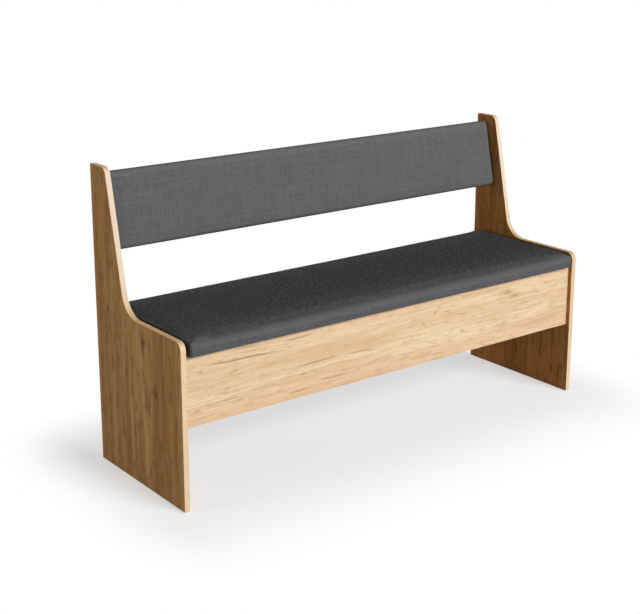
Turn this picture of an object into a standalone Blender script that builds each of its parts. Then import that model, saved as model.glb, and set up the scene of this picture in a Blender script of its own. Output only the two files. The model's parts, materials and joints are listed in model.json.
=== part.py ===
# Dining bench: two side panels, a padded backrest and a padded lift-up seat over a storage box.
# Metres, +Z up, +X along the bench, front towards -Y, origin on the floor under the middle.
import math

import bmesh
import bpy
from mathutils import Matrix, Vector

# Overall sizes
BENCH_LENGTH = 1.366
PANEL_DEPTH = 0.415
BENCH_HEIGHT = 0.800

# Fits
FIT_GAP = 0.0003
CUT_MARGIN = 0.002

# Side panels: outline, edge strip and glides
PANEL_THICKNESS = 0.015
SHOULDER_HEIGHT = 0.434
TOP_EDGE_DEPTH = 0.0743
BACK_TILT = math.radians(12.0)
TOP_CORNER_RADIUS = 0.022
FRONT_CORNER_RADIUS = 0.022
INNER_CORNER_RADIUS = 0.068
EDGE_BAND_THICKNESS = 0.001
ARC_STEPS = 20
GLIDE_RADIUS = 0.006
GLIDE_HEIGHT = 0.002
GLIDE_NAIL_RADIUS = 0.001
GLIDE_NAIL_LENGTH = 0.012
GLIDE_INSET = 0.040

# Storage box
BOARD_THICKNESS = 0.015
FOOT_SPACE_HEIGHT = 0.2125
FRONT_BOARD_SETBACK = 0.012
REAR_BOARD_SETBACK = 0.012
BOTTOM_THICKNESS = 0.003
BOTTOM_GROOVE_DEPTH = 0.006
BOTTOM_GROOVE_HEIGHT = 0.010
BOTTOM_END_GAP = 0.0006

# Upholstery shared by seat and backrest
FABRIC_THICKNESS = 0.001
FOLD_WIDTH = 0.045
LINING_THICKNESS = 0.0005
LINING_OVERLAP = 0.008
PAD_CORNER_RADIUS = 0.011
PAD_EDGE_RADIUS = 0.010
PAD_ARC_STEPS = 3
PAD_DRAW_IN = 0.0015

# Seat
SEAT_UNDERSIDE = 0.395
SEAT_THICKNESS = 0.037
SEAT_CROWN = 0.005
SEAT_BOARD_THICKNESS = 0.015
SEAT_END_GAP = 0.009
SEAT_OVERHANG = 0.0075
SEAT_REAR_SETBACK = 0.0075
SEAT_CUTS = (10, 6)

# Backrest
BACKREST_HEIGHT = 0.200
BACKREST_DROP = 0.210
BACKREST_THICKNESS = 0.030
BACKREST_CROWN = 0.003
BACKREST_BOARD_THICKNESS = 0.013
BACKREST_SETBACK = 0.025
BACKREST_END_GAP = 0.004
BACKREST_CUTS = (10, 4)

# Seat hinges
HINGE_DISTANCE = 0.800
HINGE_WIDTH = 0.060
HINGE_LEAF_DEPTH = 0.024
HINGE_LEAF_THICKNESS = 0.0015
HINGE_BARREL_RADIUS = 0.003
HINGE_PIN_RADIUS = 0.0015
HINGE_PIN_HEAD_RADIUS = 0.0022
HINGE_PIN_HEAD_HEIGHT = 0.0008
HINGE_PLAY = 0.0005
HINGE_SCREW_SPACING = 0.036

# Backrest brackets
BRACKET_LEG = 0.030
BRACKET_THICKNESS = 0.002
BRACKET_LENGTH = 0.120
BRACKET_SCREW_SPACING = 0.080
BRACKET_SCREW_INSET = 0.010

# Screws
SCREW_HEAD_RADIUS = 0.0032
SCREW_SHANK_RADIUS = 0.0016
SCREW_HEAD_RIM = 0.0003
SCREW_TIP = 0.003
SCREW_LENGTH = 0.011
SCREW_STEPS = 8

# Cam joints
CAM_RADIUS = 0.0075
CAM_FLOOR = 0.003
CAM_DISTANCE = 0.024
CAM_EDGE_DISTANCE = 0.036
CAM_CROSS_LENGTH = 0.007
CAM_CROSS_WIDTH = 0.0014
CAM_CROSS_DEPTH = 0.002
CAM_STEPS = 16
DOWEL_RADIUS = 0.0035
DOWEL_SHAFT_RADIUS = 0.0025
DOWEL_NECK_RADIUS = 0.002
DOWEL_HEAD_LENGTH = 0.003
DOWEL_NECK_LENGTH = 0.003
DOWEL_FLOOR = 0.004
DOWEL_STEPS = 10

# Places worked out from the sizes above
PANEL_REAR_Y = (PANEL_DEPTH + SEAT_OVERHANG) / 2
PANEL_FRONT_Y = PANEL_REAR_Y - PANEL_DEPTH
PANEL_BOTTOM = GLIDE_HEIGHT + FIT_GAP
INNER_X = BENCH_LENGTH / 2 - PANEL_THICKNESS
BAND_INSET = EDGE_BAND_THICKNESS + FIT_GAP
FRONT_BOARD_Y = PANEL_FRONT_Y + FRONT_BOARD_SETBACK
REAR_BOARD_Y = PANEL_REAR_Y - REAR_BOARD_SETBACK
BOARD_TOP = SEAT_UNDERSIDE - FIT_GAP
BOARD_END_X = INNER_X - FIT_GAP
SEAT_REAR_Y = PANEL_REAR_Y - SEAT_REAR_SETBACK
SEAT_FRONT_Y = PANEL_FRONT_Y - SEAT_OVERHANG
SEAT_CENTRE_Y = (SEAT_REAR_Y + SEAT_FRONT_Y) / 2
BACKREST_BOTTOM = BENCH_HEIGHT - BACKREST_DROP
HINGE_AXIS_Y = REAR_BOARD_Y + FIT_GAP + HINGE_BARREL_RADIUS
HINGE_AXIS_Z = SEAT_UNDERSIDE - FIT_GAP - HINGE_BARREL_RADIUS
CAM_HEIGHT = BOARD_THICKNESS - CAM_FLOOR
DOWEL_THREAD = PANEL_THICKNESS - DOWEL_FLOOR
DOWEL_REACH = CAM_DISTANCE + DOWEL_HEAD_LENGTH

# Directions: each turns local +Z to the named direction
TO_LEFT = (0.0, -math.pi / 2, 0.0)
TO_RIGHT = (0.0, math.pi / 2, 0.0)
TO_FRONT = (math.pi / 2, 0.0, 0.0)
TO_REAR = (-math.pi / 2, 0.0, 0.0)
TO_UP = (0.0, 0.0, 0.0)
TO_DOWN = (math.pi, 0.0, 0.0)
SIDE_VIEW = (math.pi / 2, 0.0, math.pi / 2)
SIDES = {"left": -1, "right": 1}

for item in list(bpy.data.objects):
    bpy.data.objects.remove(item, do_unlink=True)


def new_collection(name):
    collection = bpy.data.collections.new(name)
    bpy.context.scene.collection.children.link(collection)
    return collection


parts = new_collection("dining_bench")
cutters = new_collection("dining_bench_cutters")


def finish(name, colour, roughness, metallic=0.0):
    material = bpy.data.materials.new(name)
    material.use_nodes = True
    shader = material.node_tree.nodes["Principled BSDF"]
    shader.inputs["Base Color"].default_value = (*colour, 1.0)
    shader.inputs["Roughness"].default_value = roughness
    shader.inputs["Metallic"].default_value = metallic
    return material


OAK = finish("oak_decor", (0.60, 0.39, 0.19), 0.50)
OAK_EDGE = finish("oak_edge_strip", (0.78, 0.58, 0.36), 0.45)
FIBREBOARD = finish("bare_fibreboard", (0.32, 0.21, 0.12), 0.75)
CHIPBOARD = finish("bare_chipboard", (0.55, 0.42, 0.27), 0.85)
FABRIC = finish("anthracite_fabric", (0.065, 0.066, 0.069), 0.90)
FOAM = finish("pale_foam", (0.80, 0.74, 0.52), 0.95)
LINING = finish("black_lining", (0.02, 0.02, 0.02), 0.95)
STEEL = finish("zinc_plated_steel", (0.68, 0.69, 0.71), 0.32, 1.0)
CAM_ALLOY = finish("cam_alloy", (0.55, 0.55, 0.56), 0.45, 1.0)
GLIDE_PLASTIC = finish("brown_plastic", (0.09, 0.05, 0.03), 0.55)


def add_empty(name, location, rotation):
    empty = bpy.data.objects.new(name, None)
    empty.location = location
    empty.rotation_euler = rotation
    parts.objects.link(empty)
    return empty


def place(name, mesh, material, location, rotation=TO_UP, parent=None):
    part = bpy.data.objects.new(name, mesh)
    if not mesh.materials:
        mesh.materials.append(material)
    part.location = location
    part.rotation_euler = rotation
    part.parent = parent
    parts.objects.link(part)
    return part


def place_cutter(name, mesh, location, rotation=TO_UP, parent=None):
    cutter = bpy.data.objects.new(name, mesh)
    cutter.location = location
    cutter.rotation_euler = rotation
    cutter.parent = parent
    cutter.hide_render = True
    cutter.display_type = "WIRE"
    cutters.objects.link(cutter)
    return cutter


def combine(part, tool, operation):
    boolean = part.modifiers.new(tool.name, "BOOLEAN")
    boolean.operation = operation
    boolean.solver = "EXACT"
    boolean.object = tool


def cut(part, tool):
    combine(part, tool, "DIFFERENCE")


def box_mesh(name, size):
    shape = bmesh.new()
    bmesh.ops.create_cube(shape, size=1.0, matrix=Matrix.Diagonal((*size, 1.0)))
    mesh = bpy.data.meshes.new(name)
    shape.to_mesh(mesh)
    shape.free()
    return mesh


def middle_and_size(low, high):
    low, high = Vector(low), Vector(high)
    return (low + high) / 2, high - low


def place_box(name, low, high, material, parent=None):
    middle, size = middle_and_size(low, high)
    return place(name, box_mesh(name, size), material, middle, parent=parent)


def place_box_cutter(name, low, high, parent=None):
    middle, size = middle_and_size(low, high)
    return place_cutter(name, box_mesh(name, size), middle, parent=parent)


def profile_mesh(name, profile):
    # Radius and height pairs, from the top of the axis down the outer side to the foot of the axis
    mesh = bpy.data.meshes.new(name)
    points = [(radius, 0.0, height) for radius, height in profile]
    mesh.from_pydata(points, [(i, i + 1) for i in range(len(points) - 1)], [])
    return mesh


def turn(part, steps):
    screw = part.modifiers.new("turn", "SCREW")
    screw.steps = steps
    screw.render_steps = steps
    screw.use_merge_vertices = True
    screw.merge_threshold = 0.00001
    return part


def place_turned(name, profile, steps, material, location, rotation=TO_UP, parent=None):
    return turn(place(name, profile_mesh(name, profile), material, location, rotation, parent), steps)


def place_turned_cutter(name, profile, steps, location, rotation=TO_UP, parent=None):
    return turn(place_cutter(name, profile_mesh(name, profile), location, rotation, parent), steps)


def rod_profile(radius, top, bottom):
    return [(0.0, top), (radius, top), (radius, bottom), (0.0, bottom)]


def outline_mesh(name, points, thickness):
    curve = bpy.data.curves.new(name, "CURVE")
    curve.dimensions = "2D"
    curve.fill_mode = "BOTH"
    curve.extrude = thickness / 2
    spline = curve.splines.new("POLY")
    spline.points.add(len(points) - 1)
    for point, (across, up) in zip(spline.points, points):
        point.co = (across, up, 0.0, 1.0)
    spline.use_cyclic_u = True
    drawing = bpy.data.objects.new(name, curve)
    cutters.objects.link(drawing)
    evaluated = drawing.evaluated_get(bpy.context.evaluated_depsgraph_get())
    mesh = bpy.data.meshes.new_from_object(evaluated)
    bpy.data.objects.remove(drawing)
    bpy.data.curves.remove(curve)
    shape = bmesh.new()
    shape.from_mesh(mesh)
    bmesh.ops.remove_doubles(shape, verts=shape.verts, dist=0.000001)
    bmesh.ops.recalc_face_normals(shape, faces=shape.faces)
    shape.to_mesh(mesh)
    shape.free()
    return mesh


def rounded_path(corners):
    # Points along straight runs, with an arc at each corner that has a radius
    points = []
    for i, (y, z, radius) in enumerate(corners):
        corner = Vector((y, z))
        if radius == 0.0:
            points.append(corner)
            continue
        back = (Vector(corners[i - 1][:2]) - corner).normalized()
        ahead = (Vector(corners[i + 1][:2]) - corner).normalized()
        half_angle = back.angle(ahead) / 2
        centre = corner + (back + ahead).normalized() * radius / math.sin(half_angle)
        first = corner + back * radius / math.tan(half_angle) - centre
        sweep = first.angle_signed(corner + ahead * radius / math.tan(half_angle) - centre)
        for step in range(ARC_STEPS + 1):
            points.append(centre + Matrix.Rotation(-sweep * step / ARC_STEPS, 2) @ first)
    return points


def slant_y(height):
    return PANEL_REAR_Y - TOP_EDGE_DEPTH - (BENCH_HEIGHT - height) * math.tan(BACK_TILT)


def panel_path(inset):
    # The side panel's edge from the floor at the front, over the top, to the floor at the rear
    slant_inset = inset / math.cos(BACK_TILT)
    front = PANEL_FRONT_Y + inset
    rear = PANEL_REAR_Y - inset
    shoulder = SHOULDER_HEIGHT - inset
    top = BENCH_HEIGHT - inset
    return rounded_path([
        (front, PANEL_BOTTOM, 0.0),
        (front, shoulder, FRONT_CORNER_RADIUS - inset),
        (slant_y(shoulder) + slant_inset, shoulder, INNER_CORNER_RADIUS + inset),
        (slant_y(top) + slant_inset, top, TOP_CORNER_RADIUS - inset),
        (rear, top, 0.0),
        (rear, PANEL_BOTTOM, 0.0),
    ])


def strip_mesh(name, path, width):
    shape = bmesh.new()
    points = [shape.verts.new((y, z, -width / 2)) for y, z in path]
    edges = [shape.edges.new(pair) for pair in zip(points, points[1:])]
    moved = bmesh.ops.extrude_edge_only(shape, edges=edges)["geom"]
    far_side = [item for item in moved if isinstance(item, bmesh.types.BMVert)]
    bmesh.ops.translate(shape, verts=far_side, vec=(0.0, 0.0, width))
    bmesh.ops.recalc_face_normals(shape, faces=shape.faces)
    mesh = bpy.data.meshes.new(name)
    shape.to_mesh(mesh)
    shape.free()
    return mesh


def add_side(side):
    sign = SIDES[side]
    centre = (sign * (INNER_X + PANEL_THICKNESS / 2), 0.0, 0.0)
    mesh = outline_mesh("side_panel_" + side, panel_path(BAND_INSET), PANEL_THICKNESS)
    panel = place("side_panel_" + side, mesh, OAK, centre, SIDE_VIEW)
    mesh = strip_mesh("side_edge_band_" + side, panel_path(0.0), PANEL_THICKNESS)
    band = place("side_edge_band_" + side, mesh, OAK_EDGE, centre, SIDE_VIEW)
    thicken = band.modifiers.new("thicken", "SOLIDIFY")
    thicken.thickness = EDGE_BAND_THICKNESS
    thicken.offset = -1.0
    thicken.use_even_offset = True
    return panel


def add_glide(panel, name, x, y):
    nail_top = PANEL_BOTTOM + GLIDE_NAIL_LENGTH
    profile = [
        (0.0, nail_top),
        (GLIDE_NAIL_RADIUS, nail_top - GLIDE_NAIL_RADIUS),
        (GLIDE_NAIL_RADIUS, GLIDE_HEIGHT),
        (GLIDE_RADIUS, GLIDE_HEIGHT),
        (GLIDE_RADIUS, GLIDE_HEIGHT / 2),
        (GLIDE_RADIUS - GLIDE_HEIGHT / 2, 0.0),
        (0.0, 0.0),
    ]
    place_turned(name, profile, SCREW_STEPS, GLIDE_PLASTIC, (x, y, 0.0))
    hole = rod_profile(GLIDE_NAIL_RADIUS + FIT_GAP, nail_top + FIT_GAP, PANEL_BOTTOM - CUT_MARGIN)
    cut(panel, place_turned_cutter(name + "_hole", hole, SCREW_STEPS, (x, y, 0.0)))


def screw_profile(extra, head_room):
    head = SCREW_HEAD_RADIUS + extra
    shank = SCREW_SHANK_RADIUS + extra
    neck = SCREW_HEAD_RIM + SCREW_HEAD_RADIUS - SCREW_SHANK_RADIUS
    return [
        (0.0, head_room),
        (head, head_room),
        (head, -SCREW_HEAD_RIM - extra),
        (shank, -neck - extra),
        (shank, SCREW_TIP - SCREW_LENGTH - extra),
        (0.0, -SCREW_LENGTH - extra),
    ]


screw_mesh = profile_mesh("countersunk_screw", screw_profile(0.0, 0.0))
screw_space_mesh = profile_mesh("countersunk_screw_space", screw_profile(FIT_GAP, CUT_MARGIN))


def add_screw(name, location, rotation, passes, parent=None):
    turn(place(name, screw_mesh, STEEL, location, rotation, parent), SCREW_STEPS)
    space = place_cutter(name + "_space", screw_space_mesh, location, rotation, parent)
    turn(space, SCREW_STEPS)
    for piece in passes:
        cut(piece, space)


def add_cam_joint(name, board, panel, sign, face_y, inward, height):
    # The dowel stands in the panel and its head is gripped by the cam in the board's inner face
    inside = TO_RIGHT if sign < 0 else TO_LEFT
    open_face = TO_REAR if inward > 0 else TO_FRONT
    dowel_place = (sign * INNER_X, face_y - inward * BOARD_THICKNESS / 2, height)
    cam_place = (sign * (INNER_X - CAM_DISTANCE), face_y, height)
    neck_top = DOWEL_REACH - DOWEL_HEAD_LENGTH
    profile = [
        (0.0, DOWEL_REACH),
        (DOWEL_RADIUS, DOWEL_REACH),
        (DOWEL_RADIUS, neck_top),
        (DOWEL_NECK_RADIUS, neck_top),
        (DOWEL_NECK_RADIUS, neck_top - DOWEL_NECK_LENGTH),
        (DOWEL_SHAFT_RADIUS, neck_top - DOWEL_NECK_LENGTH),
        (DOWEL_SHAFT_RADIUS, 0.0),
        (DOWEL_RADIUS, 0.0),
        (DOWEL_RADIUS, -DOWEL_THREAD),
        (0.0, -DOWEL_THREAD),
    ]
    dowel = "cam_dowel_" + name
    place_turned(dowel, profile, DOWEL_STEPS, STEEL, dowel_place, inside)
    bore_profile = rod_profile(DOWEL_RADIUS + FIT_GAP, DOWEL_REACH + FIT_GAP, -DOWEL_THREAD - FIT_GAP)
    bore = place_turned_cutter(dowel + "_bore", bore_profile, DOWEL_STEPS, dowel_place, inside)
    lock = "cam_lock_" + name
    lock_profile = rod_profile(CAM_RADIUS, 0.0, -CAM_HEIGHT)
    cam = place_turned(lock, lock_profile, CAM_STEPS, CAM_ALLOY, cam_place, open_face)
    pocket_profile = rod_profile(CAM_RADIUS + FIT_GAP, CUT_MARGIN, -CAM_HEIGHT - FIT_GAP)
    pocket = place_turned_cutter(lock + "_pocket", pocket_profile, CAM_STEPS, cam_place, open_face)
    cross = place_cutter(lock + "_cross", cross_mesh, cam_place, open_face)
    cut(panel, bore)
    cut(board, bore)
    cut(board, pocket)
    cut(cam, bore)
    cut(cam, cross)


def plus_outline(length, width):
    long, short = length / 2, width / 2
    quarter = [(long, -short), (long, short), (short, short)]
    points = []
    for turns in range(4):
        points += [Matrix.Rotation(turns * math.pi / 2, 2) @ Vector(point) for point in quarter]
    return points


cross_mesh = outline_mesh("cam_cross", plus_outline(CAM_CROSS_LENGTH, CAM_CROSS_WIDTH), 2 * CAM_CROSS_DEPTH)

panels = {side: add_side(side) for side in SIDES}
for side, sign in SIDES.items():
    glide_x = sign * (INNER_X + PANEL_THICKNESS / 2)
    add_glide(panels[side], "glide_front_" + side, glide_x, PANEL_FRONT_Y + GLIDE_INSET)
    add_glide(panels[side], "glide_rear_" + side, glide_x, PANEL_REAR_Y - GLIDE_INSET)

# Storage box: front and rear boards between the panels, thin floor in their grooves
front_board = place_box(
    "front_board",
    (-BOARD_END_X, FRONT_BOARD_Y, FOOT_SPACE_HEIGHT),
    (BOARD_END_X, FRONT_BOARD_Y + BOARD_THICKNESS, BOARD_TOP),
    OAK,
)
rear_board = place_box(
    "rear_board",
    (-BOARD_END_X, REAR_BOARD_Y - BOARD_THICKNESS, FOOT_SPACE_HEIGHT),
    (BOARD_END_X, REAR_BOARD_Y, BOARD_TOP),
    OAK,
)
bottom_low = Vector((
    BOTTOM_END_GAP - INNER_X,
    FRONT_BOARD_Y + BOARD_THICKNESS - BOTTOM_GROOVE_DEPTH + FIT_GAP,
    FOOT_SPACE_HEIGHT + BOTTOM_GROOVE_HEIGHT,
))
bottom_high = Vector((
    INNER_X - BOTTOM_END_GAP,
    REAR_BOARD_Y - BOARD_THICKNESS + BOTTOM_GROOVE_DEPTH - FIT_GAP,
    FOOT_SPACE_HEIGHT + BOTTOM_GROOVE_HEIGHT + BOTTOM_THICKNESS,
))
place_box("bottom_panel", bottom_low, bottom_high, FIBREBOARD)
groove_room = Vector((PANEL_THICKNESS, FIT_GAP, FIT_GAP))
groove = place_box_cutter("bottom_groove", bottom_low - groove_room, bottom_high + groove_room)
cut(front_board, groove)
cut(rear_board, groove)
cam_levels = {
    "lower": FOOT_SPACE_HEIGHT + CAM_EDGE_DISTANCE,
    "upper": BOARD_TOP - CAM_EDGE_DISTANCE,
}
front_face = FRONT_BOARD_Y + BOARD_THICKNESS
rear_face = REAR_BOARD_Y - BOARD_THICKNESS
for side, sign in SIDES.items():
    for level, height in cam_levels.items():
        end = "_" + side + "_" + level
        add_cam_joint("front" + end, front_board, panels[side], sign, front_face, 1, height)
        add_cam_joint("rear" + end, rear_board, panels[side], sign, rear_face, -1, height)


def crown_at(x, y, length, depth):
    return (1.0 - abs(2 * x / length) ** 4) * (1.0 - abs(2 * y / depth) ** 4)


def round_edges(shape, edges, radius):
    bmesh.ops.bevel(shape, geom=edges, offset=radius, segments=PAD_ARC_STEPS, profile=0.5, affect="EDGES")


def pad_mesh(name, sizes, inset, low, high, rounded):
    # Upholstery form from height low to height high, drawn in by inset from the outer fabric
    shape = bmesh.new()
    length, depth = sizes["length"], sizes["depth"]
    extent = Vector((length - 2 * inset, depth - 2 * inset, high - low))
    middle = Matrix.Translation((0.0, 0.0, (low + high) / 2))
    bmesh.ops.create_cube(shape, size=1.0, matrix=middle @ Matrix.Diagonal((*extent, 1.0)))
    half_up = (low + high) / 2
    uprights = [edge for edge in shape.edges if sum(point.co.z > half_up for point in edge.verts) == 1]
    round_edges(shape, uprights, PAD_CORNER_RADIUS - inset)
    if rounded:
        rim = [edge for edge in shape.edges if min(point.co.z for point in edge.verts) > half_up]
        round_edges(shape, rim, PAD_EDGE_RADIUS - inset)
        slice_pad(shape, sizes)
        shape_pad(shape, sizes)
        bmesh.ops.triangulate(shape, faces=shape.faces[:], quad_method="SHORT_EDGE")
    mesh = bpy.data.meshes.new(name)
    shape.to_mesh(mesh)
    shape.free()
    return mesh


def slice_pad(shape, sizes):
    # Cross cuts that give the crown points to rise at, closer together towards the edges
    planes = [((0.0, 0.0, sizes["board_top"]), (0.0, 0.0, 1.0))]
    across, along = sizes["cuts"]
    for i in range(1, across):
        planes.append(((sizes["length"] / 2 * math.cos(math.pi * i / across), 0.0, 0.0), (1.0, 0.0, 0.0)))
    for i in range(1, along):
        planes.append(((0.0, sizes["depth"] / 2 * math.cos(math.pi * i / along), 0.0), (0.0, 1.0, 0.0)))
    for point, direction in planes:
        everything = shape.verts[:] + shape.edges[:] + shape.faces[:]
        bmesh.ops.bisect_plane(shape, geom=everything, dist=0.000001, plane_co=point, plane_no=direction)


def shape_pad(shape, sizes):
    # The top rises to its crown, and the sides above the board draw in between the corners
    length, depth = sizes["length"], sizes["depth"]
    rise = sizes["height"] - sizes["board_top"]
    for point in shape.verts:
        x, y, z = point.co
        share = max(0.0, (z - sizes["board_top"]) / rise)
        point.co.y -= PAD_DRAW_IN * share * (1.0 - (2 * x / length) ** 2) * 2 * y / depth
        point.co.x -= PAD_DRAW_IN * share * (1.0 - (2 * y / depth) ** 2) * 2 * x / length
        if share > 0.5:
            point.co.z += sizes["crown"] * crown_at(x, y, length, depth)


def add_upholstery(name, sizes, parent):
    # Board, foam, wrapped cover and lining; the cover's fold lies on the parent's plane
    inner = FABRIC_THICKNESS + FIT_GAP
    height = sizes["height"]
    sizes["board_top"] = inner + sizes["board"]
    board_form = pad_mesh(name + "_board", sizes, inner, inner, sizes["board_top"], False)
    board = place(name + "_board", board_form, CHIPBOARD, (0.0, 0.0, 0.0), parent=parent)
    foam_form = pad_mesh(name + "_foam", sizes, inner, sizes["board_top"] + FIT_GAP, height - inner, True)
    place(name + "_foam", foam_form, FOAM, (0.0, 0.0, 0.0), parent=parent)
    cover_form = pad_mesh(name + "_cover", sizes, 0.0, 0.0, height, True)
    cover = place(name + "_cover", cover_form, FABRIC, (0.0, 0.0, 0.0), parent=parent)
    hollow_form = pad_mesh(
        name + "_hollow", sizes, FABRIC_THICKNESS, FABRIC_THICKNESS, height - FABRIC_THICKNESS, True
    )
    cut(cover, place_cutter(name + "_hollow", hollow_form, (0.0, 0.0, 0.0), parent=parent))
    fold = Vector((sizes["length"] / 2 - FOLD_WIDTH, sizes["depth"] / 2 - FOLD_WIDTH, inner))
    cut(cover, place_box_cutter(name + "_fold", -fold, fold, parent))
    reach = fold + Vector((LINING_OVERLAP, LINING_OVERLAP, 0.0))
    place_box(
        name + "_lining",
        (-reach.x, -reach.y, -FIT_GAP - LINING_THICKNESS),
        (reach.x, reach.y, -FIT_GAP),
        LINING,
        parent,
    )
    return board, cover


# Seat: a lid that turns about the hinge axis
hinge_axis = add_empty("seat_hinge_axis", (0.0, HINGE_AXIS_Y, HINGE_AXIS_Z), TO_UP)
seat_place = (0.0, SEAT_CENTRE_Y - HINGE_AXIS_Y, SEAT_UNDERSIDE - HINGE_AXIS_Z)
seat_plane = add_empty("seat_plane", seat_place, TO_UP)
seat_plane.parent = hinge_axis
seat_sizes = {
    "length": 2 * (INNER_X - SEAT_END_GAP),
    "depth": SEAT_REAR_Y - SEAT_FRONT_Y,
    "height": SEAT_THICKNESS,
    "board": SEAT_BOARD_THICKNESS,
    "crown": SEAT_CROWN,
    "cuts": SEAT_CUTS,
}
seat_board, seat_cover = add_upholstery("seat", seat_sizes, seat_plane)


def add_hinge(side):
    # Places are measured from the hinge axis
    x = SIDES[side] * HINGE_DISTANCE / 2
    half = HINGE_WIDTH / 2
    knuckle = HINGE_WIDTH / 6
    near = -HINGE_BARREL_RADIUS
    clear = HINGE_BARREL_RADIUS + HINGE_PLAY
    thick = HINGE_LEAF_THICKNESS
    still = add_empty("hinge_" + side + "_axis", (0.0, HINGE_AXIS_Y, HINGE_AXIS_Z), TO_UP)
    fixed_low = (x - half, near, -clear - HINGE_LEAF_DEPTH)
    fixed = place_box("hinge_fixed_leaf_" + side, fixed_low, (x + half, near + thick, 0.0), STEEL, still)
    moving_low = (x - half, -clear - HINGE_LEAF_DEPTH, -near - thick)
    moving = place_box("hinge_moving_leaf_" + side, moving_low, (x + half, 0.0, -near), STEEL, hinge_axis)
    notch_low = (x - knuckle - HINGE_PLAY, near - CUT_MARGIN, -clear)
    notch_high = (x + knuckle + HINGE_PLAY, near + thick + CUT_MARGIN, CUT_MARGIN)
    cut(fixed, place_box_cutter("hinge_fixed_notch_" + side, notch_low, notch_high, still))
    outer_length = half - knuckle - HINGE_PLAY
    outer_profile = rod_profile(HINGE_BARREL_RADIUS, outer_length / 2, -outer_length / 2)
    for end, sign in SIDES.items():
        low, high = sorted((x + sign * (knuckle - HINGE_PLAY), x + sign * (half + CUT_MARGIN)))
        notch_low = (low, -clear, -CUT_MARGIN)
        notch_high = (high, CUT_MARGIN, clear + CUT_MARGIN)
        notch = "hinge_moving_notch_" + side + "_" + end
        cut(moving, place_box_cutter(notch, notch_low, notch_high, hinge_axis))
        barrel = "hinge_fixed_barrel_" + side + "_" + end
        barrel_place = (x + sign * (half - outer_length / 2), 0.0, 0.0)
        outer = place_turned_cutter(barrel, outer_profile, CAM_STEPS, barrel_place, TO_RIGHT, still)
        combine(fixed, outer, "UNION")
    inner_profile = rod_profile(HINGE_BARREL_RADIUS, knuckle - HINGE_PLAY, HINGE_PLAY - knuckle)
    barrel = "hinge_moving_barrel_" + side
    inner = place_turned_cutter(barrel, inner_profile, CAM_STEPS, (x, 0.0, 0.0), TO_RIGHT, hinge_axis)
    combine(moving, inner, "UNION")
    bore_profile = rod_profile(HINGE_PIN_RADIUS + FIT_GAP, half + CUT_MARGIN, -half - CUT_MARGIN)
    for leaf, name, axis in ((fixed, "fixed", still), (moving, "moving", hinge_axis)):
        bore = "hinge_" + name + "_bore_" + side
        cut(leaf, place_turned_cutter(bore, bore_profile, SCREW_STEPS, (x, 0.0, 0.0), TO_RIGHT, axis))
    head = half + HINGE_PLAY + HINGE_PIN_HEAD_HEIGHT
    pin_profile = [
        (0.0, head),
        (HINGE_PIN_HEAD_RADIUS, head),
        (HINGE_PIN_HEAD_RADIUS, half + HINGE_PLAY),
        (HINGE_PIN_RADIUS, half + HINGE_PLAY),
        (HINGE_PIN_RADIUS, -half - HINGE_PLAY),
        (HINGE_PIN_HEAD_RADIUS, -half - HINGE_PLAY),
        (HINGE_PIN_HEAD_RADIUS, -head),
        (0.0, -head),
    ]
    place_turned("hinge_pin_" + side, pin_profile, SCREW_STEPS, STEEL, (x, 0.0, 0.0), TO_RIGHT, still)
    mortise_low = Vector(moving_low) - Vector((FIT_GAP, FIT_GAP, FIT_GAP))
    mortise_high = (x + half + FIT_GAP, CUT_MARGIN, -near + CUT_MARGIN)
    cut(rear_board, place_box_cutter("hinge_mortise_" + side, mortise_low, mortise_high, still))
    middle = clear + HINGE_LEAF_DEPTH / 2
    for end, sign in SIDES.items():
        screw_x = x + sign * HINGE_SCREW_SPACING / 2
        name = "hinge_screw_" + side + "_fixed_" + end
        add_screw(name, (screw_x, near + thick, -middle), TO_REAR, [fixed, rear_board], still)
        name = "hinge_screw_" + side + "_moving_" + end
        passes = [moving, seat_cover, seat_board]
        add_screw(name, (screw_x, -middle, -near - thick), TO_DOWN, passes, hinge_axis)


for side in SIDES:
    add_hinge(side)

# Backrest: its rear plane leans with the panels' slanted edge
backrest_front_y = slant_y(BACKREST_BOTTOM) + BACKREST_SETBACK / math.cos(BACK_TILT)
up_slope = Vector((0.0, math.sin(BACK_TILT), math.cos(BACK_TILT)))
to_rear = Vector((0.0, math.cos(BACK_TILT), -math.sin(BACK_TILT)))
front_foot = Vector((0.0, backrest_front_y, BACKREST_BOTTOM))
backrest_place = front_foot + up_slope * BACKREST_HEIGHT / 2 + to_rear * BACKREST_THICKNESS
backrest_plane = add_empty("backrest_plane", backrest_place, (math.pi / 2 - BACK_TILT, 0.0, 0.0))
backrest_sizes = {
    "length": 2 * (INNER_X - BACKREST_END_GAP),
    "depth": BACKREST_HEIGHT,
    "height": BACKREST_THICKNESS,
    "board": BACKREST_BOARD_THICKNESS,
    "crown": BACKREST_CROWN,
    "cuts": BACKREST_CUTS,
}
backrest_board, backrest_cover = add_upholstery("backrest", backrest_sizes, backrest_plane)


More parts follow.
